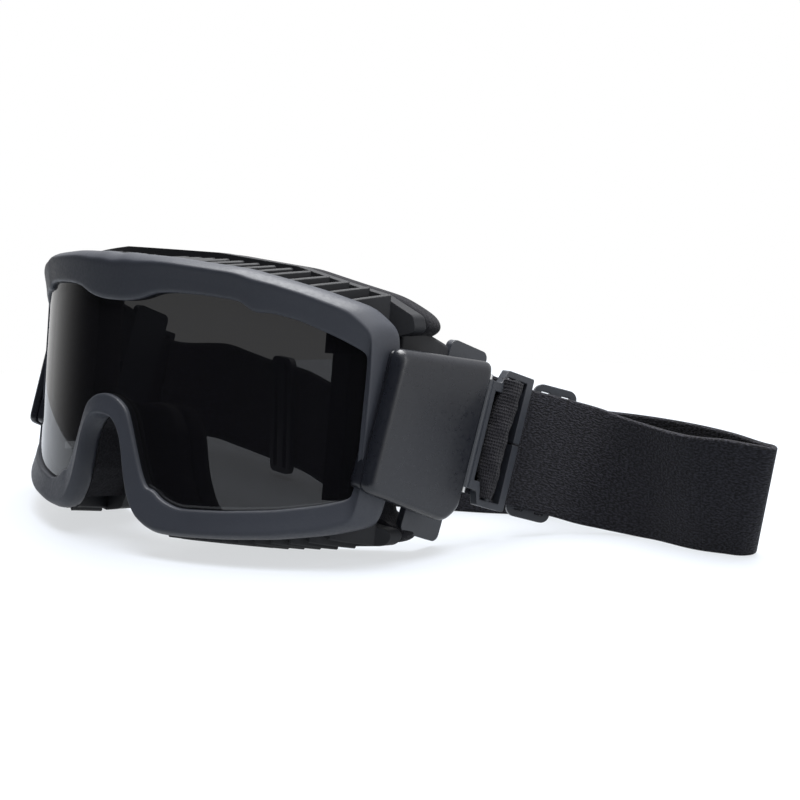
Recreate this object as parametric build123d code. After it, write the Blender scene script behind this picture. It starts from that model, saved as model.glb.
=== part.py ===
from build123d import *
from math import cos, radians, sin
import os

# Goggles lying on a table: +X is the wearer's left, -Y the way the lens looks, +Z up.
# The origin is the crown of the lens's nose arch. The frame is drawn upright, then leans back.

# Overall
FRAME_LEAN = 7.0         # degrees that the frame leans back as it lies
TABLE_Z = -50.0          # the table, below the nose arch
LENS_RADIUS = 115.0      # outer face of the lens
LENS_THICKNESS = 2.2
RIM_PROUD = 3.0          # rim's front ahead of the lens
RIM_DEPTH = 8.0
FACE_RADIUS = 125.0      # curve that the face flange follows
FACE_DEPTH = 24.0        # rear of the flange behind the lens, on the midplane
FLANGE_THICKNESS = 4.0
FOAM_THICKNESS = 9.0
FILTER_THICKNESS = 2.0
WALL = 4.0               # skirt and louvre wall
BROW_HEIGHT = 46.0
CHEEK_DEPTH = 43.0
RIM_HALF_WIDTH = 85.7
SKIRT_INSET = 10.7       # skirt inside the rim, at each side
SKIRT_HALF_WIDTH = RIM_HALF_WIDTH - SKIRT_INSET
FLANGE_STEP = 2.6        # flange stands above the rim
LENS_HOLD = 2.2          # lens edge inside the rim's groove
LENS_GAP = 0.1

# Louvres
TOP_FINS = 27
TOP_FIN_PITCH = 5.6
BOTTOM_FINS = 11
BOTTOM_FIN_PITCH = 5.0
FIN_GAP = 3.4
FIN_SLANT = 32.0
LOUVRE_RAIL = 1.3
BOTTOM_DROP = 6.0        # bottom fins below the rim, down to the table
BOTTOM_INNER_X = 17.0
BOTTOM_OUTER_X = 75.0

# Strap boxes, drawn on a plane that runs rearward (u) and up (z), with n outward
CLIP_STAND_OFF = 1.2     # joint between cover and arm, outside the rim
CLIP_X = RIM_HALF_WIDTH + CLIP_STAND_OFF
CLIP_SET_BACK = 1.6845   # behind the lens's own curve at the rim's edge
CLIP_Y = LENS_RADIUS - (LENS_RADIUS ** 2 - RIM_HALF_WIDTH ** 2) ** 0.5 + CLIP_SET_BACK
CLIP_TOE = 5.0
CLIP_LEAN = 12.5         # rearward lean of the box's ends and of the ring
COVER_THICKNESS = 5.2
COVER_WALL = 1.8
COVER_FRONT = -4.6       # u of the front edge at z = 0
COVER_LENGTH = 41.5
COVER_TOP = 23.0
COVER_DROP = 3.0         # top edge falls this much to the rear
COVER_FRONT_BOTTOM = -20.0
COVER_REAR_BOTTOM = -31.0
ARM_THICKNESS = 5.6
ARM_FRONT = 17.5         # clear of the rim's rear
PIN_RADIUS = 1.2
PIN_CLEARANCE = 0.05
HINGE_RADIUS = 2.5
HINGE_BARREL = 27.0
KNUCKLE = 4.6
KNUCKLE_ROOT = 3.0       # how far a knuckle's root goes into the rim
BODY_GAP = 0.35          # between pieces on different bodies

# Strap rings and sliders
RING_U = 38.2            # ring pin, at z = RING_Z
RING_Z = -2.8
RING_THICKNESS = 3.0
RING_N = 2.2
RING_LENGTH = 20.0       # ring pin to the rear edge
RING_BAR = 3.0
RING_RAIL = 2.2          # above and below the webbing
ROLL_V = 11.5            # bar that the webbing turns round
ROLL_BAR_RADIUS = 1.5
RING_NECK = 18.0
KEEPER_SLIT = 0.7
SLIDER_LENGTH = 15.0
SLIDER_THICKNESS = 2.3
SLIDER_BAR = 2.4
SLIDER_SLOT = 3.0

# Webbing
WEB_WIDTH = 40.0
WEB_THICKNESS = 1.8
WEB_CLEARANCE = 0.6      # at each edge, in the ring and the slider
FRONT_END_V = 22.0       # where the first stretch hands over to the free one
FOLD_RADIUS = 5.0

REST = Location((0, 0, 0), (-FRAME_LEAN, 0, 0))
FRONT_VIEW = Plane.XZ
CLIP_PLANE = Plane(origin=(CLIP_X, CLIP_Y, 0), x_dir=(sin(radians(CLIP_TOE)), cos(radians(CLIP_TOE)), 0),
                   z_dir=(cos(radians(CLIP_TOE)), -sin(radians(CLIP_TOE)), 0))
RING_PLANE = CLIP_PLANE * Plane(origin=(RING_U, RING_Z, RING_N), x_dir=(cos(radians(CLIP_LEAN)),
                                -sin(radians(CLIP_LEAN)), 0), z_dir=(0, 0, 1))
DEEP = 100.0             # longer than the frame is deep


def closed(points, radius):
    """Face on the front view, from the right-hand half of its outline."""
    mirrored = [(-x, z) for x, z in reversed(points)]
    line = FilletPolyline(*points, *mirrored, radius=radius, close=True)
    return make_face(line)


def prism(face):
    """The outline carried through the whole depth of the frame."""
    return extrude(FRONT_VIEW * face, amount=DEEP, both=True)


def bow(radius, centre_y):
    """Front cap of an upright cylinder about the midplane."""
    cap = Pos(0, DEEP / 2 - 10, 0) * Box(DEEP * 1.9, DEEP, DEEP * 1.4)
    return (Pos(0, centre_y, 0) * Cylinder(radius, DEEP * 2)) & cap


def front_shell(outer, inner):
    """Curved slab between two radii about the lens's axis."""
    return bow(outer, LENS_RADIUS) - bow(inner, LENS_RADIUS)


def rim_outline():
    side = RIM_HALF_WIDTH
    top, low = BROW_HEIGHT, CHEEK_DEPTH
    return closed([(24, top), (50, top - 2.2), (side - 9.7, top - 9), (side, top - 16), (side, 13 - low),
                   (side - 7.7, 7 - low), (50, 1.5 - low), (28, -low), (18.5, 2.5 - low), (11.5, -27),
                   (8.5, -13), (4.5, -7.6)], 3.2)


def lens_opening():
    return closed([(8, 30.4), (14.5, 32), (20.5, 34.7), (49.2, 34.2), (52.4, 30.8), (62, 30.6),
                   (83, 21.6), (82.6, -24), (63, -30), (36, -33.8), (28, -32), (23.9, -28),
                   (21, -28.4), (12.6, -8.6), (9.2, -2.2), (4.2, 0)], 1.4)


def lens_outline():
    return offset(lens_opening(), amount=LENS_HOLD)


def skirt_outline():
    side, low = SKIRT_HALF_WIDTH, CHEEK_DEPTH
    return closed([(24, BROW_HEIGHT), (50, BROW_HEIGHT - 2.2), (66, BROW_HEIGHT - 6),
                   (side, BROW_HEIGHT - 13), (side, 12 - low), (67, 4.5 - low), (50, 1.5 - low),
                   (28, -low), (18.5, 2.5 - low), (11.5, -27), (8.5, -13), (4.5, -7.6)], 3.2)


def flange_outline():
    side, top, low = SKIRT_HALF_WIDTH + 1.5, BROW_HEIGHT + FLANGE_STEP, CHEEK_DEPTH + 1.5
    return closed([(24, top), (52, top - 2.4), (side - 0.5, top - 9), (side + 8, top - 15),
                   (side + 9, top - 20),
                   (side, top - 24), (side, 11 - low), (side + 8, 9.5 - low), (side + 6, 4.5 - low),
                   (50, 0.5 - low), (27, -low), (16.5, 2.5 - low), (9.5, -28), (6.8, -15), (3.6, -10)], 2.6)


def flange_inner():
    return offset(skirt_outline(), amount=-WALL)


def frame_rim():
    body = prism(rim_outline() - lens_opening())
    body &= front_shell(LENS_RADIUS + RIM_PROUD, LENS_RADIUS + RIM_PROUD - RIM_DEPTH)
    knuckles = knuckle_shape() - hinge_rod(PIN_RADIUS + PIN_CLEARANCE, 60)
    body = body + knuckles + mirror(knuckles, about=Plane.YZ)
    groove = prism(offset(lens_outline(), amount=LENS_GAP))
    return body - (groove & front_shell(LENS_RADIUS + LENS_GAP, LENS_RADIUS - LENS_THICKNESS - LENS_GAP))


def lens():
    return prism(lens_outline()) & front_shell(LENS_RADIUS, LENS_RADIUS - LENS_THICKNESS)


def between_rim_and_flange(rail=0.0):
    face_centre = FACE_DEPTH + FACE_RADIUS
    rim_back = bow(LENS_RADIUS + RIM_PROUD - RIM_DEPTH - rail, LENS_RADIUS)
    return rim_back - bow(FACE_RADIUS + FLANGE_THICKNESS + rail, face_centre)


def skirt_ring(outside=0.0):
    outer = offset(skirt_outline(), amount=outside) if outside else skirt_outline()
    return prism(outer - flange_inner()) & between_rim_and_flange()


def window(low_x, high_x, low_z, high_z):
    centre = ((low_x + high_x) / 2, 0, (low_z + high_z) / 2)
    return Pos(*centre) * Box(high_x - low_x, DEEP * 2, high_z - low_z)


def top_window():
    reach = TOP_FINS * TOP_FIN_PITCH / 2
    return window(-reach, reach, 20, 80)


def bottom_window():
    return window(BOTTOM_INNER_X, BOTTOM_OUTER_X, -80, -26)


def nose_wall():
    return skirt_ring() & window(-BOTTOM_INNER_X, BOTTOM_INNER_X, -80, 10)


def cheek_wall():
    wall = skirt_ring() & window(BOTTOM_INNER_X, DEEP, -80, 80)
    return wall - top_window() - bottom_window()


def slanted_cuts(count, pitch, first_x, z):
    """The gaps, each slanted about its own place between the rim and the flange."""
    cuts = []
    for i in range(count):
        x = first_x + (i + 0.5) * pitch
        y = LENS_RADIUS - (LENS_RADIUS ** 2 - x ** 2) ** 0.5 + FACE_DEPTH / 2
        slant = FIN_SLANT if x > 0 else -FIN_SLANT
        cuts.append(Pos(x, y, z) * Rot(0, 0, slant) * Box(FIN_GAP, 40, 30))
    return cuts


def top_louvre():
    body = skirt_ring(outside=1.2) & top_window()
    reach = TOP_FINS * TOP_FIN_PITCH / 2
    gaps = [c & between_rim_and_flange(LOUVRE_RAIL)
            for c in slanted_cuts(TOP_FINS - 1, TOP_FIN_PITCH, -reach + TOP_FIN_PITCH / 2, 40)]
    return body - gaps


def table_side():
    """Everything above the table, in the frame's upright position."""
    block = Pos(0, 0, TABLE_Z + DEEP) * Box(DEEP * 4, DEEP * 4, DEEP * 2)
    return REST.inverse() * block


def bottom_louvre():
    body = skirt_ring(outside=BOTTOM_DROP) & bottom_window() & table_side()
    gaps = [c & between_rim_and_flange(LOUVRE_RAIL)
            for c in slanted_cuts(BOTTOM_FINS, BOTTOM_FIN_PITCH, BOTTOM_INNER_X + 1.5, -45)]
    return body - gaps


def vent_filter(opening):
    sheet = prism(flange_inner() - offset(skirt_outline(), amount=-WALL - FILTER_THICKNESS))
    return sheet & between_rim_and_flange() & opening


def face_layer(front, back, outline, hole):
    """Slab that follows the face, between two distances behind the flange's front."""
    centre = FACE_DEPTH + FACE_RADIUS
    curved = bow(FACE_RADIUS + FLANGE_THICKNESS - front, centre)
    curved -= bow(FACE_RADIUS + FLANGE_THICKNESS - back, centre)
    return prism(outline - hole) & curved


def face_flange():
    body = face_layer(0, FLANGE_THICKNESS, flange_outline(), flange_inner()) & table_side()
    return body - side_plate() - mirror(side_plate(), about=Plane.YZ)


def face_foam():
    start = FLANGE_THICKNESS
    body = face_layer(start, start + FOAM_THICKNESS, flange_outline(), flange_inner())
    return (body & table_side()) - side_plate() - mirror(side_plate(), about=Plane.YZ)


def clip_outline(inset=0.0):
    """Side view of the box: its ends lean back, its lower edge falls to the rear."""
    lean = sin(radians(CLIP_LEAN)) / cos(radians(CLIP_LEAN))
    front, back = COVER_FRONT, COVER_FRONT + COVER_LENGTH
    rear_top = COVER_TOP - COVER_DROP
    points = [(front + COVER_TOP * lean, COVER_TOP), (back + rear_top * lean, rear_top),
              (back + (COVER_REAR_BOTTOM + 3) * lean, COVER_REAR_BOTTOM + 3),
              (back - 4 + COVER_REAR_BOTTOM * lean, COVER_REAR_BOTTOM),
              (front + COVER_FRONT_BOTTOM * lean, COVER_FRONT_BOTTOM)]
    face = make_face(FilletPolyline(*points, radius=2.5, close=True))
    return offset(face, amount=-inset) if inset else face


def clip_slab(face, low, high):
    return extrude((CLIP_PLANE * Pos(0, 0, low)) * face, amount=high - low)


def hinge_rod(radius, length):
    """Rod along the box's leaning front edge."""
    place = Location((COVER_FRONT + HINGE_RADIUS, 0, COVER_THICKNESS / 2), (0, 0, 0))
    return CLIP_PLANE * (place * Rot(0, 0, -CLIP_LEAN) * Rot(90, 0, 0) * Cylinder(radius, length))


def hinge_block(half_width, length):
    """Root that ties the hinge rod's place to the side of the rim."""
    deep = COVER_THICKNESS / 2 + KNUCKLE_ROOT
    place = Pos(COVER_FRONT + HINGE_RADIUS, 0, 0) * Rot(0, 0, -CLIP_LEAN)
    block = Pos(0, 0, COVER_THICKNESS / 2 - deep / 2) * Box(2 * half_width, length, deep)
    return CLIP_PLANE * (place * block)


def knuckle_shape(grow=0.0):
    """The rim's two knuckles, above and below the box's barrel, with their roots."""
    reach = HINGE_BARREL + 2 * (KNUCKLE + BODY_GAP + grow)
    whole = hinge_rod(HINGE_RADIUS + grow, reach) + hinge_block(HINGE_RADIUS - 0.6 + grow, reach)
    middle = HINGE_BARREL + 2 * (BODY_GAP - grow)
    return whole - hinge_rod(HINGE_RADIUS * 3, middle)


def hinge_corner():
    """The square corner that the cover's rounded front edge does without, so that it swings."""
    reach = 2 * HINGE_RADIUS
    place = Pos(COVER_FRONT + HINGE_RADIUS, 0, COVER_THICKNESS / 2) * Rot(0, 0, -CLIP_LEAN)
    corner = CLIP_PLANE * (place * Pos(-reach / 2, 0, -reach / 2) * Box(reach, 60, reach))
    return corner - hinge_rod(HINGE_RADIUS, 60)


def clip_cover():
    body = clip_slab(clip_outline(), 0, COVER_THICKNESS) - hinge_corner()
    body -= clip_slab(clip_outline(COVER_WALL), -1, COVER_THICKNESS - COVER_WALL)
    body -= knuckle_shape(BODY_GAP)
    barrel = hinge_rod(HINGE_RADIUS, HINGE_BARREL)
    bosses = ring_bosses()
    body = body + barrel + bosses
    body -= hinge_rod(PIN_RADIUS, 60)
    body -= ring_space(BODY_GAP)
    body -= ring_rod(PIN_RADIUS, RING_NECK * 2 + 4)
    return body


def clip_arm():
    face = clip_outline(0.6)
    body = clip_slab(face, -ARM_THICKNESS, 0)
    lean_box = CLIP_PLANE * (Rot(0, 0, -CLIP_LEAN) * Pos(ARM_FRONT + 40, 0, 0) * Box(80, 200, 40))
    return body & lean_box


def ring_rod(radius, length):
    return RING_PLANE * (Rot(90, 0, 0) * Cylinder(radius, length))


def ring_bosses():
    """Solid ends in the box that hold the ring pin."""
    post = RING_PLANE * Box(6.4, (RING_NECK + 2.6) * 2, COVER_THICKNESS)
    return post & clip_slab(clip_outline(), 0, COVER_THICKNESS)


def ring_outline():
    reach = WEB_WIDTH / 2 + WEB_CLEARANCE + RING_RAIL
    step = ROLL_V - 4.5
    return [(-RING_BAR, RING_NECK), (step - 2, RING_NECK), (step, reach), (RING_LENGTH, reach),
            (RING_LENGTH, -reach), (step, -reach), (step - 2, -RING_NECK), (-RING_BAR, -RING_NECK)]


def ring_space(gap):
    """The pocket that the ring's neck swings in."""
    pocket = Box(RING_LENGTH, 2 * (RING_NECK + gap), RING_THICKNESS + 2 * gap + 1.0)
    return RING_PLANE * Pos(RING_LENGTH / 2 - RING_BAR - gap, 0, 0) * pocket


def strap_ring():
    outline = make_face(FilletPolyline(*ring_outline(), radius=0.8, close=True))
    body = extrude(RING_PLANE * Pos(0, 0, -RING_THICKNESS / 2) * outline, amount=RING_THICKNESS)
    half = WEB_WIDTH / 2 + WEB_CLEARANCE
    near = ROLL_V - ROLL_BAR_RADIUS
    far = ROLL_V + ROLL_BAR_RADIUS
    outer = RING_LENGTH - RING_BAR
    tall = RING_THICKNESS * 3
    neck_slot = Pos((RING_BAR + near) / 2, 0, 0) * Box(near - RING_BAR, 2 * (RING_NECK - RING_BAR), tall)
    roll_slot = Pos((near + ROLL_V - 4.2) / 2, 0, 0) * Box(near - ROLL_V + 4.2, 2 * half, tall)
    keeper_slot = Pos((far + outer) / 2, 0, 0) * Box(outer - far, 2 * half, tall)
    slit = Pos(RING_LENGTH - RING_BAR / 2, 0, 0) * Box(RING_BAR * 2, KEEPER_SLIT, tall)
    body -= RING_PLANE * (neck_slot + roll_slot + keeper_slot + slit)
    bar_room = RING_PLANE * (Pos(ROLL_V, 0, 0) * (Box(2 * ROLL_BAR_RADIUS, 2 * half, tall)
                             - Rot(90, 0, 0) * Cylinder(ROLL_BAR_RADIUS, 2 * half + 2)))
    body -= bar_room
    knuckle = ring_rod(RING_THICKNESS / 2 + 0.4, 2 * RING_NECK)
    body += knuckle
    return body - ring_rod(PIN_RADIUS + PIN_CLEARANCE, 60)


def side_plate():
    """Leaning plate on the flange's side, with a tab above and one below the box."""
    lean = Rot(0, 0, -CLIP_LEAN - 2.5)
    outline = Pos(32.5, -6.5, 0) * lean * RectangleRounded(17.5, 65, 2.5)
    top = CLIP_PLANE * Pos(0, 0, -ARM_THICKNESS - BODY_GAP - 2.6)
    return extrude(top * outline, amount=2.6)


def slider_plate():
    """Flat three-bar adjuster, drawn about its own middle: x along the strap, y up."""
    tall = WEB_WIDTH + 2 * (WEB_CLEARANCE + SLIDER_BAR)
    body = extrude(RectangleRounded(SLIDER_LENGTH, tall, 3), amount=SLIDER_THICKNESS)
    slot = Rectangle(SLIDER_SLOT, WEB_WIDTH + 2 * WEB_CLEARANCE)
    shift = SLIDER_LENGTH / 2 - SLIDER_BAR - SLIDER_SLOT / 2
    for x in (-shift, shift):
        body -= extrude(Pos(x, 0, 0) * slot, amount=SLIDER_THICKNESS)
    return body


def roll_and_first_stretch():
    """The webbing round the ring's bar, and the flat stretch inside the keeper bar."""
    outer = ROLL_BAR_RADIUS + 0.1 + WEB_THICKNESS
    tube = RING_PLANE * (Pos(ROLL_V, 0, 0) * Rot(90, 0, 0)
                         * (Cylinder(outer, WEB_WIDTH) - Cylinder(ROLL_BAR_RADIUS + 0.1, WEB_WIDTH)))
    length = FRONT_END_V - ROLL_V
    flat = RING_PLANE * (Pos(ROLL_V + length / 2, 0, -outer + WEB_THICKNESS / 2)
                         * Box(length, WEB_WIDTH, WEB_THICKNESS))
    return tube + flat


def sewn_tail():
    """The webbing's folded end, inside the first stretch."""
    outer = ROLL_BAR_RADIUS + 0.1 + WEB_THICKNESS
    length = FRONT_END_V - ROLL_V - 4
    return RING_PLANE * (Pos(ROLL_V + 4 + length / 2, 0, -outer - 0.2 - WEB_THICKNESS / 2)
                         * Box(length, WEB_WIDTH - 1, WEB_THICKNESS))


# The free webbing on the table, from the left ring round to the right one: lower edge points.
FOLD_IN_UP = Vector(0.06, -0.2, 0.98).normalized()
FOLD_UP = Vector(0.267, -0.21, 0.94).normalized()
REAR_UP = Vector(0, 0.05, 1).normalized()
LEFT_STRAIGHT = 16.5     # stretch that the left slider sits on
LEFT_HEADING = 38.0      # degrees from straight back towards the wearer's left
LEFT_BEND_V = 3.0        # where the webbing bends, past the ring's first stretch
LEFT_RUN = [((113, 118.5, -48.3), (0.18, 0.04, 0.98)), ((126, 124, TABLE_Z), (0.1, -0.1, 0.99))]
FOLD_START = (151, 123, TABLE_Z)
FOLD_CENTRE = (159.5, 130)
REAR_RUN = [(148, 136, TABLE_Z), (120, 137.5, TABLE_Z), (90, 129, TABLE_Z), (60, 112, TABLE_Z),
            (32, 100, TABLE_Z), (6, 100, -49), (-18, 105, -45.4), (-44, 111, -44.6)]
RIGHT_RUN = [(-66, 114.5, -43.4), (-82, 112.5, -41)]
SLIDER_REACH = 0.3       # air between a slider and the webbing's inner face


def ring_end(side):
    """Lower edge, lean and direction of the webbing where the first stretch hands over."""
    depth = -(ROLL_BAR_RADIUS + 0.1 + WEB_THICKNESS / 2)
    half = WEB_WIDTH / 2
    corners = [(FRONT_END_V, -half), (FRONT_END_V, half), (FRONT_END_V + 1, -half)]
    places = [(REST * (RING_PLANE * Pos(v, w, depth))).position for v, w in corners]
    low, high, on = [Vector(side * p.X, p.Y, p.Z) for p in places]
    return low, (high - low).normalized(), (on - low).normalized()


def fold_points():
    x, y = FOLD_CENTRE
    return [((x + FOLD_RADIUS * sin(radians(a)), y - FOLD_RADIUS * cos(radians(a)), TABLE_Z),
             blend_up(FOLD_IN_UP, FOLD_UP, min(1, a / 90))) for a in range(0, 181, 30)]


def blend_up(first, last, share):
    return (first * (1 - share) + last * share).normalized()


def web_stations():
    """(name, lower edge, lean) all the way round, with the names of the three stretches."""
    left, left_up, left_on = ring_end(1)
    right, right_up, _ = ring_end(-1)
    bend = left + left_on * LEFT_BEND_V
    heading = Vector(sin(radians(LEFT_HEADING)), cos(radians(LEFT_HEADING)), 0)
    straight = (heading - left_up * heading.dot(left_up)).normalized() * LEFT_STRAIGHT
    stations = [("left", left, left_up), ("left", bend, left_up), ("left", bend + straight, left_up)]
    stations += [("left", Vector(*p), Vector(*up).normalized()) for p, up in LEFT_RUN]
    stations += [("rear", Vector(*p), up) for p, up in [(FOLD_START, FOLD_IN_UP)] + fold_points()]
    stations += [("rear", Vector(*p), blend_up(FOLD_UP, REAR_UP, min(1, (i + 1) / 4)))
                 for i, p in enumerate(REAR_RUN)]
    stations += [("right", Vector(*p), blend_up(REAR_UP, right_up, 0.35 * (i + 1)))
                 for i, p in enumerate(RIGHT_RUN)]
    return stations + [("right", right, right_up)]


def web_frames():
    """Each station's middle, lean and direction."""
    stations = web_stations()
    frames = []
    for i, (name, base, up) in enumerate(stations):
        before, after = stations[max(i - 1, 0)][1], stations[min(i + 1, len(stations) - 1)][1]
        along = (after - before).normalized()
        if i in (0, len(stations) - 1):
            along = ring_end(1)[2] if i == 0 else -ring_end(-1)[2]
        frames.append((name, base + up * (WEB_WIDTH / 2), up, along))
    return frames


def web_section(frame, shift=0.0):
    _, middle, up, along = frame
    face_normal = along.cross(up).normalized()
    plane = Plane(origin=middle + along * shift, x_dir=up, z_dir=face_normal.cross(up))
    return plane * Rectangle(WEB_WIDTH, WEB_THICKNESS)


def web_run(name):
    """One stretch of webbing; the side stretches stop just short of what they meet."""
    frames = web_frames()
    wanted = [i for i, frame in enumerate(frames) if frame[0] == name]
    if name == "left":
        wanted.append(wanted[-1] + 1)
    if name == "right":
        wanted.insert(0, wanted[0] - 1)
    gap = 0 if name == "rear" else BODY_GAP + 0.1
    shifts = [gap] + [0] * (len(wanted) - 2) + [-gap]
    faces = [web_section(frames[i], shift) for i, shift in zip(wanted, shifts)]
    run = loft(faces[:2])
    for pair in zip(faces[1:], faces[2:]):
        run += loft(pair)
    return run


def slider(first, last):
    """Slider on the inner face of the webbing, midway between two stations."""
    start, end = first[1], last[1]
    up = blend_up(first[2], last[2], 0.5)
    along = (end - start).normalized()
    inner = up.cross(along).normalized()
    along = inner.cross(up)
    plane = Plane(origin=(start + end) * 0.5 + inner * (WEB_THICKNESS / 2 + SLIDER_REACH),
                  x_dir=along, z_dir=inner)
    return plane * slider_plate()


def on_both_sides(name, part):
    return {f"left_{name}": REST * part, f"right_{name}": REST * mirror(part, about=Plane.YZ)}


def pieces():
    filters = {"top_vent_filter": vent_filter(window(-72, 72, 20, 80))}
    low = vent_filter(window(BOTTOM_INNER_X + 1, BOTTOM_OUTER_X - 6, -80, -28))
    named = {"frame_rim": frame_rim(), "lens": lens(), "nose_wall": nose_wall(),
             "top_louvre": top_louvre(), "face_flange": face_flange(), "face_foam": face_foam()}
    nodes = {name: REST * part for name, part in {**named, **filters}.items()}
    nodes.update({f"bottom_louvre_{side}": REST * part for side, part in
                  (("left", bottom_louvre()), ("right", mirror(bottom_louvre(), about=Plane.YZ)))})
    nodes.update({f"bottom_vent_filter_{side}": REST * part for side, part in
                  (("left", low), ("right", mirror(low, about=Plane.YZ)))})
    paired = {"cheek_wall": cheek_wall(), "side_plate": side_plate(),
              "clip_arm": clip_arm(), "clip_cover": clip_cover(),
              "hinge_pin": hinge_rod(PIN_RADIUS, HINGE_BARREL + 2 * KNUCKLE),
              "strap_ring": strap_ring(), "ring_pin": ring_rod(PIN_RADIUS, RING_NECK * 2 + 3.5),
              "strap_front": roll_and_first_stretch(), "strap_end": sewn_tail()}
    for name, part in paired.items():
        nodes.update(on_both_sides(name, part))
    frames = web_frames()
    rear = [frame for frame in frames if frame[0] == "rear"]
    nodes["left_strap_side"], nodes["right_strap_side"] = web_run("left"), web_run("right")
    nodes["rear_strap"] = web_run("rear")
    nodes["left_slider"], nodes["right_slider"] = slider(*frames[1:3]), slider(*rear[-2:])
    return nodes


os.makedirs("parts", exist_ok=True)
for node, part in pieces().items():
    export_step(part, f"parts/{node}.step")
    print(node, len(part.solids()), round(part.volume))
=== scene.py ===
from math import cos, pi, radians, sin, sqrt

import bmesh
import bpy
import numpy as np
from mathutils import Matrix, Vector


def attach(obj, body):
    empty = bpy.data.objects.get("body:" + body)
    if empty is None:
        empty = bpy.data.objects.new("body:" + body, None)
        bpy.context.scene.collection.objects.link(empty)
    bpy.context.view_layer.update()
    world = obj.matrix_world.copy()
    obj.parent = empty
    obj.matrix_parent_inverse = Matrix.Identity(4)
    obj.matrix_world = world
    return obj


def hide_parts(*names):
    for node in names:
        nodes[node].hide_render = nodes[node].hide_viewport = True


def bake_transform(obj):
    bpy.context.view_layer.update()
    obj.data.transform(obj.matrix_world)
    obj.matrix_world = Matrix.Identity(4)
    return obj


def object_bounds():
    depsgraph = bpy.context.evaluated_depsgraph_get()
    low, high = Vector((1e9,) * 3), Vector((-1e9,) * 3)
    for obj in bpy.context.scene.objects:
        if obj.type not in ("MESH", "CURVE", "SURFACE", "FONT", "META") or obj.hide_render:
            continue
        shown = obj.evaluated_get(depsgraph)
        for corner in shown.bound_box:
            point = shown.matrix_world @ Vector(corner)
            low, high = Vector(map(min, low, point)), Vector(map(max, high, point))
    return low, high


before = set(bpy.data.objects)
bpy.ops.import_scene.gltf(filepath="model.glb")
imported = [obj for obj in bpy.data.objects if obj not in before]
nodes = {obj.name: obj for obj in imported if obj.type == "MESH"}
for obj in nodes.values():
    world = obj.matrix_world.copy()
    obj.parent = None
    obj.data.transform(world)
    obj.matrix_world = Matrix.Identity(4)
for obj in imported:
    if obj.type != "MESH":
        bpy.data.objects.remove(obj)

cad_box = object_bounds()


# ---- Camera ---------------------------------------------------------------------------------
# A short telephoto, low and to the front left of the goggles, looking a little down.
EYE = Vector((0.404, -0.297, 0.079))
AZIMUTH = radians(42.7)
ELEVATION = radians(9.4)
FOCAL_LENGTH = 68.4
camera_data = bpy.data.cameras.new("camera")
camera_data.sensor_width = 36
camera_data.lens = FOCAL_LENGTH
camera_data.clip_start = 0.01
camera = bpy.data.objects.new("camera", camera_data)
bpy.context.scene.collection.objects.link(camera)
looking = Vector((-sin(AZIMUTH) * cos(ELEVATION), cos(AZIMUTH) * cos(ELEVATION), -sin(ELEVATION)))
camera.location = EYE
camera.rotation_euler = looking.to_track_quat("-Z", "Y").to_euler()
bpy.context.scene.camera = camera


# ---- Stage ----------------------------------------------------------------------------------
# A white table in a white studio, with a large soft box above. The side that the lens looks
# at is dark, so the lens stays black and the edges catch the light. The finishes here and
# below are written in sockets that take part in arithmetic, and one way to add a node.
class Value:
    """A node's output, or a plain number, that adds Math nodes when it is worked with."""

    def __init__(self, finish, socket):
        self.finish = finish
        self.socket = socket

    def math(self, operation, *others):
        inputs = dict(enumerate([self, *others]))
        return self.finish.node("ShaderNodeMath", {"operation": operation}, inputs).out(0)

    def __add__(self, other):
        return self.math("ADD", other)

    def __mul__(self, other):
        return self.math("MULTIPLY", other)

    def __sub__(self, other):
        return self.math("SUBTRACT", other)

    def __truediv__(self, other):
        return self.math("DIVIDE", other)

    def __rsub__(self, other):
        return (self * -1) + other

    __radd__ = __add__
    __rmul__ = __mul__


class Node:
    """A node in a finish, and its outputs."""

    def __init__(self, finish, node):
        self.finish = finish
        self.node = node

    def out(self, name):
        return Value(self.finish, self.node.outputs[name])


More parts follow.
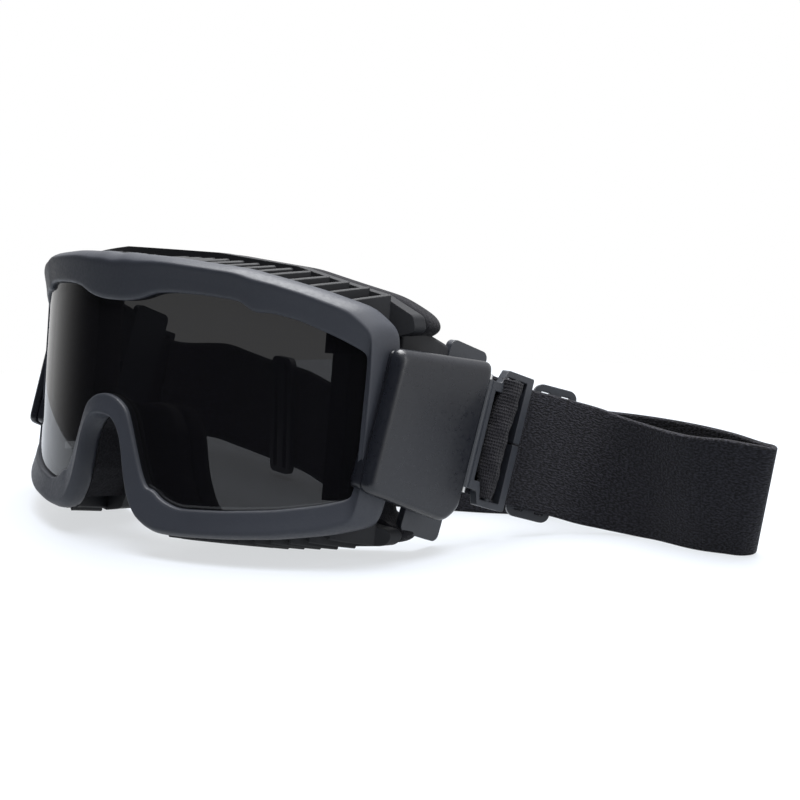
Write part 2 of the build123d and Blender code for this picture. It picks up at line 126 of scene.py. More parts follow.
class Finish:
    """A material, with its surface shader ready."""

    def __init__(self, name, roughness, coat=0.0, specular=0.5, sheen=0.0):
        self.material = bpy.data.materials.new(name)
        self.material.use_nodes = True
        self.tree = self.material.node_tree
        self.shader = self.tree.nodes["Principled BSDF"]
        self.shader.inputs["Roughness"].default_value = roughness
        self.shader.inputs["Coat Weight"].default_value = coat
        self.shader.inputs["Specular IOR Level"].default_value = specular
        self.shader.inputs["Sheen Weight"].default_value = sheen

    def node(self, kind, settings=None, inputs=None):
        node = self.tree.nodes.new(kind)
        for name, value in (settings or {}).items():
            setattr(node, name, value)
        for name, value in (inputs or {}).items():
            self.feed(node.inputs[name], value)
        return Node(self, node)

    def feed(self, socket, value):
        if isinstance(value, Value):
            self.tree.links.new(value.socket, socket)
        else:
            socket.default_value = value

    def place(self, kind="Object"):
        return self.node("ShaderNodeTexCoord").out(kind)

    def noise(self, scale, detail=2.0, vector=None, roughness=0.5):
        where = vector or self.place()
        inputs = {"Vector": where, "Scale": scale, "Detail": detail, "Roughness": roughness}
        return self.node("ShaderNodeTexNoise", None, inputs).out("Fac")

    def stretched(self, vector, scale):
        inputs = {0: vector, 1: scale}
        return self.node("ShaderNodeVectorMath", {"operation": "MULTIPLY"}, inputs).out(0)

    def spread(self, value, low, high, to_low=0.0, to_high=1.0):
        inputs = {"Value": value, "From Min": low, "From Max": high, "To Min": to_low, "To Max": to_high}
        return self.node("ShaderNodeMapRange", {"clamp": True}, inputs).out(0)

    def mix(self, share, first, second):
        inputs = {0: share, 6: (*first, 1) if isinstance(first, tuple) else first,
                  7: (*second, 1) if isinstance(second, tuple) else second}
        return self.node("ShaderNodeMix", {"data_type": "RGBA"}, inputs).out(2)

    def paint(self, colour):
        self.feed(self.shader.inputs["Base Color"], colour)

    def rough(self, value):
        self.feed(self.shader.inputs["Roughness"], value)

    def relief(self, height, depth, edge=0.0):
        """Bump of that depth in metres, over edges rounded by that radius."""
        inputs = {"Height": height, "Distance": depth, "Strength": 1.0}
        if edge:
            inputs["Normal"] = self.node("ShaderNodeBevel", {"samples": 6}, {"Radius": edge}).out(0)
        self.feed(self.shader.inputs["Normal"], self.node("ShaderNodeBump", None, inputs).out(0))


def coat(piece, finish):
    piece.data.materials.clear()
    piece.data.materials.append(finish.material)


TABLE_RADIUS = 0.42
TABLE_MIDDLE = (0.05, 0.08)
bm = bmesh.new()
bmesh.ops.create_circle(bm, cap_ends=True, segments=96, radius=TABLE_RADIUS)
bmesh.ops.translate(bm, verts=bm.verts, vec=(*TABLE_MIDDLE, cad_box[0][2]))
floor_mesh = bpy.data.meshes.new("floor")
bm.to_mesh(floor_mesh)
bm.free()
floor = bpy.data.objects.new("floor", floor_mesh)
bpy.context.scene.collection.objects.link(floor)
table = Finish("table", roughness=0.5, specular=0.2)
table.paint((0.15, 0.165, 0.19, 1))
table.shader.inputs["Emission Color"].default_value = (0.96, 0.98, 1, 1)
table.shader.inputs["Emission Strength"].default_value = 0.66
coat(floor, table)

world = bpy.data.worlds.new("studio")
bpy.context.scene.world = world
world.use_nodes = True
studio = world.node_tree
links = studio.links
backdrop = studio.nodes["Background"]
LENS_LOOKS_AT = Vector((-0.2, -0.97, 0.12)).normalized()
coords = studio.nodes.new("ShaderNodeTexCoord")
facing = studio.nodes.new("ShaderNodeVectorMath")
facing.operation = "DOT_PRODUCT"
facing.inputs[1].default_value = LENS_LOOKS_AT
dimmed = studio.nodes.new("ShaderNodeMapRange")
dimmed.interpolation_type = "SMOOTHSTEP"
dimmed.inputs["From Min"].default_value = -0.25
dimmed.inputs["From Max"].default_value = 0.6
dimmed.inputs["To Min"].default_value = 0.9
dimmed.inputs["To Max"].default_value = 0.03
seen = studio.nodes.new("ShaderNodeLightPath")
brightness = studio.nodes.new("ShaderNodeMath")
brightness.operation = "MAXIMUM"
links.new(coords.outputs["Generated"], facing.inputs[0])
links.new(facing.outputs["Value"], dimmed.inputs["Value"])
links.new(dimmed.outputs[0], brightness.inputs[0])
links.new(seen.outputs["Is Camera Ray"], brightness.inputs[1])
links.new(brightness.outputs[0], backdrop.inputs["Strength"])
backdrop.inputs["Color"].default_value = (1, 1, 1, 1)
bpy.context.scene.view_settings.view_transform = "Standard"

# Name, place, width and height, and watts.
SOFT_BOXES = [("above", (0.05, 0.15, 0.9), (0.9, 0.9), 36.0),
              ("left side", (0.95, 0.35, 0.35), (0.25, 0.7), 2.0)]
for name, place, (width, height), power in SOFT_BOXES:
    light = bpy.data.lights.new(name, "AREA")
    light.shape = "RECTANGLE"
    light.size = width
    light.size_y = height
    light.energy = power
    lamp = bpy.data.objects.new(name, light)
    bpy.context.scene.collection.objects.link(lamp)
    lamp.location = place
    lamp.rotation_euler = (Vector((0.05, 0.05, 0)) - lamp.location).to_track_quat("-Z", "Y").to_euler()


# ---- Front rim ------------------------------------------------------------------------------
# The soft moulded rim that carries the lens. Its face is drawn as ribs from the edge of the
# lens opening to the outer edge, given for the wearer's left half in the frame's own upright
# position, which then leans back as the frame lies.
LEAN = radians(7)
LENS_RADIUS = 115.0
AROUND = 560


def as_it_lies(x, y, z):
    """The frame's own upright millimetres, as metres where it lies."""
    return Vector((x, y * cos(LEAN) + z * sin(LEAN), z * cos(LEAN) - y * sin(LEAN))) / 1000


def smoothed(values, passes):
    """A closed row of points with its corners rounded."""
    for _ in range(passes):
        values = (np.roll(values, 1, 0) + 2 * values + np.roll(values, -1, 0)) / 4
    return values


def ribs_round(half, count, passes):
    """Inner and outer points all the way round, evenly spaced, from one half's ribs."""
    left = np.array([[*inner, *outer] for inner, outer in half], float)
    right = (left * (-1, 1, -1, 1))[::-1]
    loop = np.vstack([left, right[1:-1] if np.allclose(left[0, 0], 0) else right])
    loop = np.vstack([loop, loop[:1]])
    steps = np.hypot(*np.diff(loop[:, :2], axis=0).T) + np.hypot(*np.diff(loop[:, 2:], axis=0).T)
    along = np.concatenate([[0], np.cumsum(steps)])
    wanted = np.linspace(0, along[-1], count, endpoint=False)
    dense = np.stack([np.interp(wanted, along, loop[:, k]) for k in range(4)], 1)
    dense = smoothed(dense, passes)
    return dense[:, :2], dense[:, 2:]


def moulded(name, around, across, place, uv=None, caps=False):
    """A skin over a grid that closes on itself: place(i, j) is the point i round and j along."""
    bm = bmesh.new()
    bmesh.ops.create_grid(bm, x_segments=around, y_segments=across, size=1)
    bm.verts.ensure_lookup_table()
    layer = bm.loops.layers.uv.new("cloth") if uv else None
    index = {}
    for n, vert in enumerate(bm.verts):
        i, j = n % (around + 1), n // (around + 1)
        index[vert] = (i, j)
    if uv:
        for face in bm.faces:
            for loop in face.loops:
                loop[layer].uv = uv(*index[loop.vert])
    for vert, (i, j) in index.items():
        vert.co = place(i % around, j)
    bmesh.ops.remove_doubles(bm, verts=bm.verts, dist=1e-6)
    if caps:
        bmesh.ops.holes_fill(bm, edges=[e for e in bm.edges if e.is_boundary], sides=0)
    bmesh.ops.recalc_face_normals(bm, faces=bm.faces)
    for face in bm.faces:
        face.smooth = True
    mesh = bpy.data.meshes.new(name)
    bm.to_mesh(mesh)
    bm.free()
    piece = bpy.data.objects.new(name, mesh)
    bpy.context.scene.collection.objects.link(piece)
    return piece


RIM_RIBS = [((0, 0), (0, -7.8)), ((5.5, -0.9), (5.6, -8.4)), ((10.5, -3.9), (9.0, -13)),
            ((12.9, -9.5), (10.7, -18)), ((15.6, -16.6), (12.2, -26)), ((18.4, -23.7), (14.4, -33.5)),
            ((21.4, -28.9), (18, -39)), ((23.9, -28.2), (21.5, -41.5)), ((27, -31.3), (26, -42.7)),
            ((34, -33.4), (33, -42.6)), ((49, -32), (49, -41.2)), ((64, -29.7), (64, -39.2)),
            ((75, -26.8), (76, -36.5)), ((82, -24), (84.2, -33)), ((82.8, -18), (85.8, -21)),
            ((83, 0), (85.8, 0)), ((83.2, 14), (85.8, 16)), ((83.2, 21), (85.4, 29)),
            ((76, 25.2), (80, 35.5)), ((67, 29.2), (69, 39.4)), ((58.5, 31.1), (59, 42)),
            ((53, 30.5), (53, 43.2)), ((51.8, 32.5), (51, 43.7)), ((49.3, 33.9), (48.5, 44.2)),
            ((36.9, 34.7), (36.5, 45)), ((25.6, 34.6), (25, 45.8)), ((19.6, 34), (18, 46)),
            ((13.1, 31.6), (12, 46)), ((5.9, 30.5), (5.5, 46.4)), ((0, 30.5), (0, 45.6))]
# Section of the rim: share of the way from the opening to the outer edge, and height in
# millimetres above the lens's outer face.
RIM_SECTION = [(0.0, -1.2), (0.0, 0.6), (0.012, 1.1), (0.04, 1.4), (0.12, 1.6), (0.3, 1.9), (0.5, 2.3),
               (0.68, 2.75), (0.77, 2.95), (0.82, 2.9), (0.86, 2.5), (0.92, 1.5), (0.975, 0.2), (1.0, -1.2),
               (1.0, -3.2), (0.99, -4.6), (0.93, -5.0), (0.6, -5.0), (0.3, -5.0), (0.12, -4.8),
               (0.04, -4.2), (0.0, -3.0)]


def on_shell(x, z, height, radius=LENS_RADIUS, centre=LENS_RADIUS):
    return as_it_lies(x, centre - sqrt((radius + height) ** 2 - x * x), z)


rim_inner, rim_outer = ribs_round(RIM_RIBS, AROUND, 8)


def rim_point(i, j):
    share, height = RIM_SECTION[j % len(RIM_SECTION)]
    x, z = rim_inner[i] * (1 - share) + rim_outer[i] * share
    return on_shell(x, z, height)


rim = moulded("front_rim", AROUND, len(RIM_SECTION), rim_point)
rubber = Finish("soft_frame", roughness=0.5, specular=0.36)
grain = rubber.noise(900, detail=3)
cloudy = rubber.noise(30, detail=2)
rubber.paint(rubber.mix(cloudy, (0.020, 0.0222, 0.0295), (0.028, 0.0315, 0.041)))
rubber.rough(rubber.spread(grain, 0.3, 0.7, 0.44, 0.56))
rubber.relief(grain, 0.00003)
coat(rim, rubber)
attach(rim, "goggle_frame")
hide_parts("frame_rim")


# ---- Lens -----------------------------------------------------------------------------------
# One smoke-tinted cylindrical sheet of polycarbonate in the rim's groove. It passes a few
# hundredths of the light, so what lies behind it shows only against the white.
LENS_THICKNESS = 2.2
LENS_UNDER_RIM = 1.6
LENS_HALF_WIDTH = 84.2
LENS_COLUMNS = 240
LENS_ROWS = 24
top_edge = np.array(sorted([tuple(p) for p in rim_inner if p[1] > 10]))
low_edge = np.array(sorted([tuple(p) for p in rim_inner if p[1] < -0.01 or abs(p[0]) < 12 and p[1] < 10]))


def lens_point(i, j):
    """Round the sheet's section, down its front and up its back, and across its columns."""
    x = (2 * j / LENS_COLUMNS - 1) * LENS_HALF_WIDTH
    top = np.interp(x, top_edge[:, 0], top_edge[:, 1]) + LENS_UNDER_RIM
    low = np.interp(x, low_edge[:, 0], low_edge[:, 1]) - LENS_UNDER_RIM
    front = i <= LENS_ROWS
    share = i / LENS_ROWS if front else (2 * LENS_ROWS + 1 - i) / LENS_ROWS
    return on_shell(x, top + (low - top) * share, 0 if front else -LENS_THICKNESS)


lens = moulded("lens", 2 * LENS_ROWS + 2, LENS_COLUMNS, lens_point, caps=True)
smoke = Finish("smoke_lens", roughness=0.04, specular=0.3)
smoke.paint((0.0035, 0.0035, 0.0045, 1))
smoke.shader.inputs["Alpha"].default_value = 0.81
coat(lens, smoke)
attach(lens, "goggle_frame")
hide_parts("lens")


# ---- Face foam ------------------------------------------------------------------------------
# The pad that meets the face: fleece over soft open-cell foam, glued to the flange, with its
# rear corners rounded. It follows a cylinder that curves less than the lens.
FOAM_RIBS = [((0, -3.6), (0, -10)), ((6, -3.6), (3.6, -10.5)), ((12.2, -11), (7, -15.5)),
             ((15.3, -25.5), (9.6, -28)), ((19.5, -35), (13.5, -37)), ((23.5, -38.2), (18.5, -42.8)),
             ((30, -39), (28, -44.5)), ((50, -37.5), (50, -44)), ((65, -34.8), (68, -41.8)),
             ((69.5, -31.5), (82.3, -39.8)), ((71, -28), (84.2, -35.2)), ((71, -25), (76.6, -32.5)),
             ((71, 0), (76.5, 0)), ((71, 22), (76.5, 24)), ((71, 27), (85.2, 28.8)),
             ((69.5, 31.5), (84.2, 33.6)), ((64, 36.3), (76, 39.4)), ((49.5, 39.8), (52, 46)),
             ((24, 42), (24, 48.5)), ((0, 42), (0, 48.5))]
FACE_CENTRE = 149.0
FOAM_FRONT = 125.0
FOAM_SECTION = [(0.0, -0.3), (0.0, -3.0), (0.01, -6.0), (0.1, -8.3), (0.3, -9.0), (0.5, -9.2), (0.7, -9.0),
                (0.9, -8.2), (0.99, -6.0), (1.0, -3.0), (1.0, -0.3), (0.5, -0.1)]
foam_inner, foam_outer = ribs_round(FOAM_RIBS, AROUND, 10)


def foam_point(i, j):
    share, height = FOAM_SECTION[j % len(FOAM_SECTION)]
    x, z = foam_inner[i] * (1 - share) + foam_outer[i] * share
    return on_shell(x, z, height, FOAM_FRONT, FACE_CENTRE)


foam = moulded("face_foam_pad", AROUND, len(FOAM_SECTION), foam_point)
fleece = Finish("fleece", roughness=0.95, specular=0.1, sheen=0.06)
tuft = fleece.noise(1500, detail=4, roughness=0.7)
patches = fleece.noise(140, detail=3)
fleece.paint(fleece.mix(fleece.spread(tuft, 0.35, 0.7), (0.003, 0.003, 0.004), (0.016, 0.016, 0.02)))
fleece.relief(tuft * 0.6 + patches, 0.0006)
coat(foam, fleece)
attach(foam, "goggle_frame")
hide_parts("face_foam")


# ---- Louvres, flange and walls --------------------------------------------------------------
# The fins above and below, the flange and the walls behind the rim are one soft moulding with
# it, and thin reticulated foam shows between the fins.
def coat_nodes(finish, *names):
    for name in names:
        slots = nodes[name].material_slots
        if not slots:
            nodes[name].data.materials.append(finish.material)
        for slot in nodes[name].material_slots:
            slot.material = finish.material


moulding = Finish("moulded_fins", roughness=0.6, specular=0.3)
fin_grain = moulding.noise(900, detail=3)
moulding.paint(moulding.mix(fin_grain, (0.0045, 0.005, 0.007), (0.007, 0.0078, 0.0105)))
moulding.relief(fin_grain, 0.00003, edge=0.0004)
coat_nodes(moulding, "face_flange", "left_cheek_wall", "right_cheek_wall")
coat_nodes(fleece, "nose_wall")

# Each fin is a thin blade from the rim's rear to the flange's front, slanted outwards as it
# runs back; the upper ones rise towards the flange and grow towards the sides.
RIM_BACK = LENS_RADIUS - 5.0
FLANGE_FRONT = 129.0
BLADE_HALF = 0.55
BLADE_EASE = 0.5
BLADE_SLANT = 5.5
BLADE_STEPS = 8


def fin_blades(name, node, positions, edge_at, foot_at):
    """A row of blades: the height of each one's edge, a share of the way back, and of its foot."""
    bm = bmesh.new()
    for x in positions:
        sign = 1 if x > 0 else -1
        front = LENS_RADIUS - sqrt(RIM_BACK ** 2 - x * x) - 0.6
        rows = []
        for step in range(BLADE_STEPS + 1):
            share = step / BLADE_STEPS
            shifted = x + sign * BLADE_SLANT * share ** 0.8
            back = FACE_CENTRE - sqrt(FLANGE_FRONT ** 2 - shifted * shifted) + 0.4
            y = front + (back - front) * share
            edge = edge_at(x, share)
            low = foot_at(x)
            shoulder = edge - BLADE_EASE * (1 if edge > low else -1)
            corners = [(-BLADE_HALF, low), (-BLADE_HALF, shoulder), (0, edge),
                       (BLADE_HALF, shoulder), (BLADE_HALF, low)]
            rows.append([bm.verts.new(as_it_lies(shifted + dx, y, z)) for dx, z in corners])
        for near, far in zip(rows, rows[1:]):
            for k in range(5):
                bm.faces.new((near[k], near[(k + 1) % 5], far[(k + 1) % 5], far[k]))
        bm.faces.new(rows[0])
        bm.faces.new(rows[-1])
    bmesh.ops.recalc_face_normals(bm, faces=bm.faces)
    mesh = bpy.data.meshes.new(name)
    bm.to_mesh(mesh)
    bm.free()
    piece = bpy.data.objects.new(name, mesh)
    bpy.context.scene.collection.objects.link(piece)
    coat(piece, moulding)
    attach(piece, "goggle_frame")
    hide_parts(node)


def brow_at(x):
    """Height of the rim's rear edge along the brow."""
    half = abs(x)
    return float(np.interp(half, [0, 24, 50, 66, 76], [45.4, 45.2, 43.0, 39.4, 36.0]))


def chin_at(x):
    """Height of the rim's rear edge along the cheeks."""
    return float(np.interp(abs(x), [17, 27, 50, 67, 78], [-38.5, -42.6, -41.2, -39.0, -35.5]))


def top_edge_at(x, share):
    return brow_at(x) - 0.3 + (1.5 + 1.6 * abs(x) / 75) * share


def top_foot_at(x):
    return brow_at(x) - 6.5


def low_edge_at(x, share):
    return chin_at(x) - 1.4 - 2.0 * share


def low_foot_at(x):
    return chin_at(x) + 6.0


TOP_FINS = 27
TOP_PITCH = 5.6
LOW_FINS = 12
LOW_PITCH = 4.7
LOW_FIRST = 22
top_places = [TOP_PITCH * (k - TOP_FINS // 2) for k in range(TOP_FINS)]
fin_blades("top_fins", "top_louvre", top_places, top_edge_at, top_foot_at)
for side, sign in (("left", 1), ("right", -1)):
    low_places = [sign * (LOW_FIRST + LOW_PITCH * k) for k in range(LOW_FINS)]
    fin_blades(f"low_fins_{side}", f"bottom_louvre_{side}", low_places, low_edge_at, low_foot_at)

cells = Finish("vent_foam", roughness=0.9, specular=0.15)
pores = cells.node("ShaderNodeTexVoronoi", {"feature": "DISTANCE_TO_EDGE"},
                   {"Vector": cells.place(), "Scale": 1400}).out("Distance")
# The pores are painted near black against lighter strands: the foam's real open cells, with painted shade
# inside them.
cells.paint(cells.mix(cells.spread(pores, 0.0, 0.35), (0.022, 0.022, 0.026), (0.002, 0.002, 0.003)))
cells.relief(pores, -0.0003)
coat_nodes(cells, "top_vent_filter", "bottom_vent_filter_left", "bottom_vent_filter_right")


# ---- Strap boxes ----------------------------------------------------------------------------
# Each side has a two-part plastic box that swings on a pin in the rim's side: a cover outside
# with bevelled edges, and an arm as deep inside, with a thin joint between them.
CLIP_AT = Vector((86.9, 40.0, 0.0))
CLIP_TOE = radians(5)
CLIP_LEAN = radians(12.5)
OUTWARD = {"left": 1, "right": -1}
# Along the box from its front, and up, in millimetres on the box's own plane.
BOX_CORNERS = [(0.5, 23.6), (42.6, 20.4), (31.4, -27.8), (25.6, -31.6), (-9.4, -20.6)]
BOX_AROUND = 220


def on_box(side, along, up, out):
    """A point on the box's plane: along to the rear, up, and out from the head."""
    x = CLIP_AT.x + along * sin(CLIP_TOE) + out * cos(CLIP_TOE)
    y = CLIP_AT.y + along * cos(CLIP_TOE) - out * sin(CLIP_TOE)
    return as_it_lies(OUTWARD[side] * x, y, up)


def rounded_corners(corners, count, passes):
    loop = np.array(corners + corners[:1], float)
    along = np.concatenate([[0], np.cumsum(np.hypot(*np.diff(loop, axis=0).T))])
    wanted = np.linspace(0, along[-1], count, endpoint=False)
    dense = np.stack([np.interp(wanted, along, loop[:, k]) for k in range(2)], 1)
    return smoothed(dense, passes)


def shrunk(loop, amount):
    """The loop moved in by an amount, along its own normals."""
    tangent = np.roll(loop, -1, 0) - np.roll(loop, 1, 0)
    tangent /= np.linalg.norm(tangent, axis=1)[:, None]
    normal = np.stack([tangent[:, 1], -tangent[:, 0]], 1)
    return loop + normal * amount


# Steps in from the box's outline, the scale about its middle, and how far out from the joint.
COVER_STEPS = [(0.9, 0.6, 0.1), (0.9, 1, 0.1), (0.25, 1, 0.4), (0.0, 1, 1.0), (0.0, 1, 2.1),
               (0.0, 0.995, 2.8), (0.0, 0.98, 3.6), (0.0, 0.95, 4.4), (0.0, 0.93, 4.75),
               (0.0, 0.915, 4.9), (0.0, 0.9, 5.0), (0.0, 0.86, 5.1), (0.0, 0.3, 5.1)]
FACE_DROP = 9.0             # how far the inner outlines slide down the box, per unit of scale
ARM_STEPS = [(1.2, 0.6, -0.15), (1.2, 1, -0.15), (0.75, 1, -0.5), (0.6, 1, -1.1), (0.6, 1, -3.8),
             (0.9, 1, -4.8), (1.7, 1, -5.4), (1.9, 0.9, -5.6), (1.9, 0.3, -5.6)]
box_outline = rounded_corners(BOX_CORNERS, BOX_AROUND, 10)

box_plastic = Finish("box_plastic", roughness=0.34, specular=0.42)
box_grain = box_plastic.noise(700, detail=3)
box_plastic.paint(box_plastic.mix(box_plastic.noise(25), (0.005, 0.0058, 0.0085), (0.0075, 0.0086, 0.0125)))
box_plastic.rough(box_plastic.spread(box_grain, 0.3, 0.7, 0.26, 0.36))
box_plastic.relief(box_grain, 0.00002)


def box_half(name, side, steps):
    middle = box_outline.mean(0)
    loops = [middle + (shrunk(box_outline, inset) - middle) * scale - (0, FACE_DROP * (1 - scale))
             for inset, scale, _ in steps]

    def point(i, j):
        along, up = loops[j][i]
        return on_box(side, along, up, steps[j][2])

    return moulded(name, BOX_AROUND, len(steps) - 1, point, caps=True)


for side in OUTWARD:
    cover = box_half(f"{side}_box_cover", side, COVER_STEPS)
    arm = box_half(f"{side}_box_arm", side, ARM_STEPS)
    for piece, node in ((cover, f"{side}_clip_cover"), (arm, f"{side}_clip_arm")):
        coat(piece, box_plastic)
        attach(piece, f"{side}_clip")
        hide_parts(node)


# ---- Rings, sliders, plates and pins --------------------------------------------------------
# Injection-moulded nylon rings and sliders, the plates on the flange's sides, and steel pins.
nylon = Finish("nylon", roughness=0.4, specular=0.5)
nylon_grain = nylon.noise(800, detail=2)
nylon.paint(nylon.mix(nylon_grain, (0.016, 0.018, 0.0235), (0.024, 0.0275, 0.035)))
nylon.relief(nylon_grain, 0.00002, edge=0.0005)
steel = Finish("pin_steel", roughness=0.3)
steel.paint((0.5, 0.5, 0.5, 1))
steel.shader.inputs["Metallic"].default_value = 1.0
steel.relief(steel.noise(2000), 0.00001)
for side in OUTWARD:
    coat_nodes(nylon, f"{side}_strap_ring", f"{side}_slider", f"{side}_side_plate")
    coat_nodes(steel, f"{side}_hinge_pin", f"{side}_ring_pin")


# The moulded shoulder runs from the flange's ear to the plate, on the plate's own plane. Its
# depths are the step in from its outline and how far out it lies.
SHOULDER = [(10.0, 31.8), (16.5, 30.0), (31.8, 24.2), (31.0, 4.0), (10.0, 4.0)]
SHOULDER_DEPTHS = [(1.2, -8.4), (0.0, -8.0), (0.0, -6.6), (1.0, -6.1)]
SHOULDER_AROUND = 80
shoulder_outline = rounded_corners(SHOULDER, SHOULDER_AROUND, 4)
for side in OUTWARD:
    shoulder = moulded(f"{side}_shoulder", SHOULDER_AROUND, len(SHOULDER_DEPTHS) - 1,
                       lambda i, j: on_box(side, *shrunk(shoulder_outline, SHOULDER_DEPTHS[j][0])[i],
                                           SHOULDER_DEPTHS[j][1]), caps=True)
    coat(shoulder, moulding)
    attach(shoulder, "goggle_frame")


# ---- Strap ----------------------------------------------------------------------------------
# One band of knitted elastic webbing, 40 mm wide, that stands on its edge on the table. It
# turns round a bar in each ring, runs back, folds on itself and passes behind the face foam.
WEB_WIDTH = 0.040
WEB_THICKNESS = 0.0018
TABLE = cad_box[0][2]
RING_AT = Vector((38.2, -2.8, 2.2))
WEB_BEGINS = 3.6
FRONT_END = 22.0
BEND_END = 25.0
WEB_DEPTH = -2.5
LEFT_STRAIGHT = 0.0165
LEFT_HEADING = radians(38)
FOLD_IN_UP = Vector((0.06, -0.2, 0.98)).normalized()
FOLD_UP = Vector((0.267, -0.21, 0.94)).normalized()
REAR_UP = Vector((0, 0.05, 1)).normalized()
LEFT_RUN = [((0.113, 0.1185, 0.0017), (0.18, 0.04, 0.98)), ((0.126, 0.124, 0), (0.1, -0.1, 0.99))]
FOLD_START = (0.151, 0.123)
FOLD_CENTRE = (0.1595, 0.130)
FOLD_RADIUS = 0.005
REAR_RUN = [(0.148, 0.136, 0), (0.120, 0.1375, 0), (0.090, 0.129, 0), (0.060, 0.112, 0), (0.032, 0.100, 0),
            (0.006, 0.100, 0.001), (-0.018, 0.105, 0.0046), (-0.044, 0.111, 0.0054)]
RIGHT_RUN = [(-0.066, 0.1145, 0.0066), (-0.082, 0.1125, 0.009)]


def on_ring(side, along, up, out):
    """A point on the ring's plane, which leans back with the box's rear edge."""
    along_box = RING_AT.x + along * cos(CLIP_LEAN) + up * sin(CLIP_LEAN)
    up_box = RING_AT.y - along * sin(CLIP_LEAN) + up * cos(CLIP_LEAN)
    return on_box(side, along_box, up_box, RING_AT.z + out)


def web_stations():
    """(name, middle, up) of the webbing at each turn of its way, from left to right."""
    half = WEB_WIDTH / 2
    ups = {side: (on_ring(side, 1, 1, 0) - on_ring(side, 1, 0, 0)).normalized() for side in OUTWARD}
    rows = [("left_front", on_ring("left", along, 0, WEB_DEPTH), ups["left"])
            for along in (WEB_BEGINS, FRONT_END)]
    bend = on_ring("left", BEND_END, 0, WEB_DEPTH)
    heading = Vector((sin(LEFT_HEADING), cos(LEFT_HEADING), 0))
    straight = (heading - ups["left"] * heading.dot(ups["left"])).normalized() * LEFT_STRAIGHT
    rows += [("left_side", bend + straight * share, ups["left"]) for share in (0.0, 0.12, 0.5, 0.88, 1.0)]
    for (x, y, lift), lean in LEFT_RUN:
        up = Vector(lean).normalized()
        rows.append(("left_side", Vector((x, y, TABLE + lift)) + up * half, up))
    x, y = FOLD_CENTRE
    rows.append(("rear", Vector((*FOLD_START, TABLE)) + FOLD_IN_UP * half, FOLD_IN_UP))
    for turn in range(0, 181, 30):
        base = Vector((x + FOLD_RADIUS * sin(radians(turn)), y - FOLD_RADIUS * cos(radians(turn)), TABLE))
        up = FOLD_IN_UP.lerp(FOLD_UP, min(1, turn / 90)).normalized()
        rows.append(("rear", base + up * half, up))
    for i, (x, y, lift) in enumerate(REAR_RUN):
        up = FOLD_UP.lerp(REAR_UP, min(1, (i + 1) / 4)).normalized()
        rows.append(("rear", Vector((x, y, TABLE + lift)) + up * half, up))
    for i, (x, y, lift) in enumerate(RIGHT_RUN):
        up = REAR_UP.lerp(ups["right"], 0.35 * (i + 1)).normalized()
        rows.append(("right_side", Vector((x, y, TABLE + lift)) + up * half, up))
    rows += [("right_front", on_ring("right", along, 0, WEB_DEPTH), ups["right"])
             for along in (FRONT_END, WEB_BEGINS)]
    return rows


STEP = 0.0012


def smooth_way(rows):
    """The webbing's middle and up, every STEP along it, and the distance of each station."""
    points = np.array([[*middle, *up] for _, middle, up in rows])
    gaps = np.linalg.norm(np.diff(points[:, :3], axis=0), axis=1)
    at = np.concatenate([[0], np.cumsum(gaps)])
    slopes = np.gradient(points, at, axis=0)
    wanted = np.linspace(0, at[-1], int(at[-1] / STEP))
    spans = np.clip(np.searchsorted(at, wanted) - 1, 0, len(gaps) - 1)
    t = ((wanted - at[spans]) / gaps[spans])[:, None]
    long = gaps[spans][:, None]
    way = ((2 * t ** 3 - 3 * t ** 2 + 1) * points[spans] + (t ** 3 - 2 * t ** 2 + t) * long * slopes[spans]
           + (3 * t ** 2 - 2 * t ** 3) * points[spans + 1] + (t ** 3 - t ** 2) * long * slopes[spans + 1])
    return wanted, way, at


stations = web_stations()
distance, way, station_at = smooth_way(stations)
# Across the webbing from its lower edge, as a share of half its width, and out from its middle
# as a share of half its thickness.
EDGE = [(1.0, 0.0), (0.992, 0.6), (0.975, 0.95), (0.955, 1.0)]
FACE = [(s, 1.0) for s in (0.8, 0.6, 0.4, 0.2, 0.0, -0.2, -0.4, -0.6, -0.8)]
WEB_SECTION = (EDGE + FACE + [(-s, t) for s, t in reversed(EDGE)]
               + [(-s, -t) for s, t in EDGE[1:]] + [(-s, -t) for s, t in FACE]
               + [(s, -t) for s, t in reversed(EDGE[1:])])

webbing = Finish("elastic_webbing", roughness=0.85, specular=0.2, sheen=0.03)
cloth = webbing.place("UV")
WEAVE = 2200.0
threads = webbing.noise(1.0, detail=1, vector=webbing.stretched(cloth, (WEAVE * 0.45, WEAVE * 0.8, 1)))
streaks = webbing.noise(1.0, detail=2, vector=webbing.stretched(cloth, (900, 90, 1)))
flecks = webbing.spread(threads, 0.42, 0.62)
webbing.paint(webbing.mix(flecks * 0.7 + streaks * 0.3, (0.001, 0.001, 0.0016), (0.02, 0.02, 0.0265)))
webbing.relief(threads + streaks * 0.4, 0.0006)


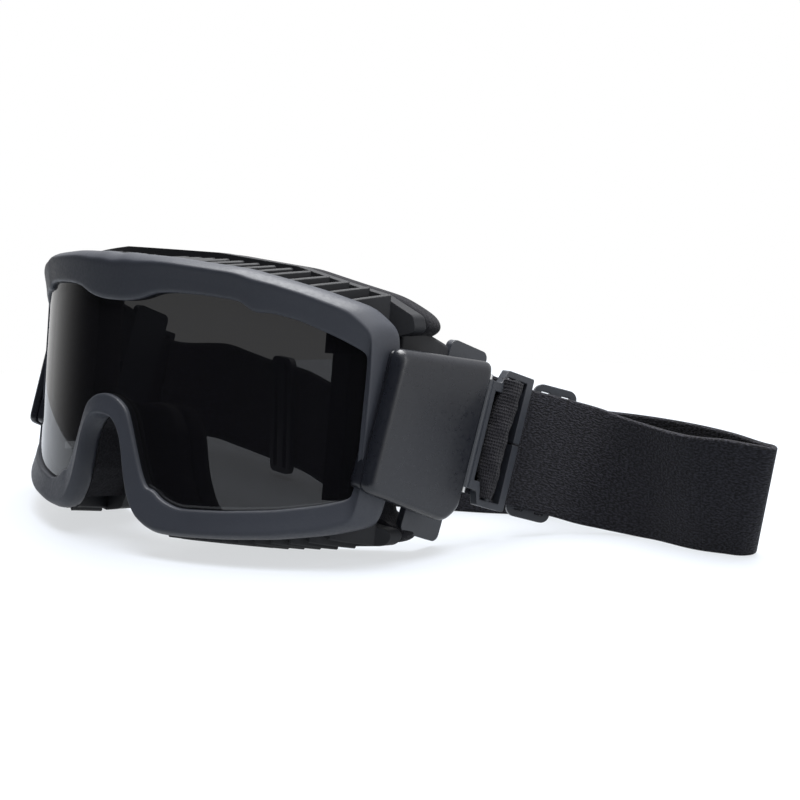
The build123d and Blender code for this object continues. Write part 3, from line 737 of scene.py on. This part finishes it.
def band(name, start, end):
    """The webbing between two distances along its way."""
    picked = np.flatnonzero((distance > start) & (distance < end))
    rows = np.vstack([[np.interp(start, distance, way[:, k]) for k in range(6)], way[picked],
                      [np.interp(end, distance, way[:, k]) for k in range(6)]])
    runs = np.concatenate([[start], distance[picked], [end]])
    middles, ups = rows[:, :3], rows[:, 3:]
    ups = ups / np.linalg.norm(ups, axis=1)[:, None]
    nearby = 0.0004
    ahead = np.stack([np.interp(runs + nearby, distance, way[:, k]) for k in range(3)], 1)
    behind = np.stack([np.interp(runs - nearby, distance, way[:, k]) for k in range(3)], 1)
    outs = np.cross(ahead - behind, ups)
    outs /= np.linalg.norm(outs, axis=1)[:, None]
    half, thick = WEB_WIDTH / 2, WEB_THICKNESS / 2

    def point(i, j):
        across, out = WEB_SECTION[i]
        return Vector(middles[j] - ups[j] * half * across + outs[j] * thick * out)

    def uv(i, j):
        across, out = WEB_SECTION[i % len(WEB_SECTION)]
        return runs[j], half * across + (0.1 if out < 0 else 0)

    piece = moulded(name, len(WEB_SECTION), len(rows) - 1, point, uv=uv, caps=True)
    coat(piece, webbing)
    return piece, rows[0, :3], rows[-1, :3]


def station_of(name, which):
    return station_at[[i for i, row in enumerate(stations) if row[0] == name][which]]


left_front_end = station_of("left_front", -1)
rear_start = station_of("rear", 0)
rear_end = station_of("rear", -1)
right_front_start = station_of("right_front", 0)
length = station_at[-1]
spans = [("left_front", 0, left_front_end, "left_ring", "left_clip"),
         ("left_side", left_front_end, rear_start, "left_clip", "goggle_frame"),
         ("rear", rear_start, rear_end, "goggle_frame", None),
         ("right_side", rear_end, right_front_start, "goggle_frame", "right_clip"),
         ("right_front", right_front_start, length, "right_clip", "right_ring")]
for name, start, end, first, second in spans:
    piece, begins, ends = band(f"strap_{name}", start, end)
    node = "rear_strap" if name == "rear" else f"{name.split('_')[0]}_strap_{name.split('_')[1]}"
    if second:
        tuple(begins)
        tuple(ends)
        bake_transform(piece)
    else:
        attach(piece, first)
    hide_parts(node)


# ---- Roll round the ring's bar --------------------------------------------------------------
# The webbing's end is rolled round the bar and sewn back on itself, and the roll narrows and
# creases where it meets the lower bar.
ROLL_RADIUS = 3.7
ROLL_HALF = 19.9
ROLL_CENTRE = 9.6           # the roll sags to the box side of its bar
ROLL_BROAD = 1.3
ROLL_ROUND = 64
ROLL_LONG = 80
knit = Finish("knitted_roll", roughness=0.85, specular=0.2, sheen=0.05)
stitches = knit.stretched(knit.place("UV"), (1500, 950, 1))
holes = knit.node("ShaderNodeTexVoronoi", {"feature": "F1"},
                  {"Vector": stitches, "Scale": 1.0, "Randomness": 0.25}).out("Distance")
# The dots at the cells' middles are the knit's real holes, painted near black as painted shade inside them;
# the threads keep the webbing's own dark colour.
knit.paint(knit.mix(knit.spread(holes, 0.12, 0.4), (0.0002, 0.0002, 0.0004), (0.010, 0.0097, 0.013)))
knit.relief(holes, 0.0008)


def roll_point(side, i, j):
    turn = 2 * pi * i / ROLL_ROUND
    up = ROLL_HALF * (2 * j / ROLL_LONG - 1)
    share = (up + ROLL_HALF) / (2 * ROLL_HALF)
    squeeze = 1 - 0.28 * max(0.0, 1 - share / 0.3) ** 1.5
    crease = 0.12 * sin(3 * turn + up * 0.55) + 0.08 * sin(2 * turn - up * 1.1)
    radius = ROLL_RADIUS * squeeze + crease - 0.15
    sway = 0.7 * sin((share - 0.15) * 2 * pi * 0.9)
    return on_ring(side, ROLL_CENTRE - sway + ROLL_BROAD * radius * sin(turn), up, radius * cos(turn) + 0.5)


for side in OUTWARD:
    roll = moulded(f"{side}_webbing_roll", ROLL_ROUND, ROLL_LONG, lambda i, j: roll_point(side, i, j),
                   uv=lambda i, j: (0.021 * i / ROLL_ROUND, 0.039 * j / ROLL_LONG), caps=True)
    coat(roll, knit)
    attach(roll, f"{side}_ring")


# ---- Sewn end -------------------------------------------------------------------------------
# The raw end of the webbing, folded under and sewn inside the first stretch.
END_ALONG = (15.4, 21.9)
END_DEPTH = (-4.6, -6.0)
END_HALF = 19.3
END_ROUND = 40
END_LONG = 30
for side in OUTWARD:
    section = [(END_ALONG[0], END_DEPTH[0]), (END_ALONG[1], END_DEPTH[0]),
               (END_ALONG[1] + 0.5, sum(END_DEPTH) / 2),
               (END_ALONG[1], END_DEPTH[1]), (END_ALONG[0], END_DEPTH[1])]
    loop = rounded_corners(section, END_ROUND, 3)

    def end_point(i, j):
        along, out = loop[i]
        up = END_HALF * (2 * j / END_LONG - 1)
        return on_ring(side, along + 0.25 * sin(up * 0.7), up, out + 0.15 * sin(up * 0.9 + along))

    tail = moulded(f"{side}_sewn_end", END_ROUND, END_LONG, end_point,
                   uv=lambda i, j: (0.016 * i / END_ROUND, 0.039 * j / END_LONG), caps=True)
    coat(tail, webbing)
    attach(tail, f"{side}_ring")
    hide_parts(f"{side}_strap_end")
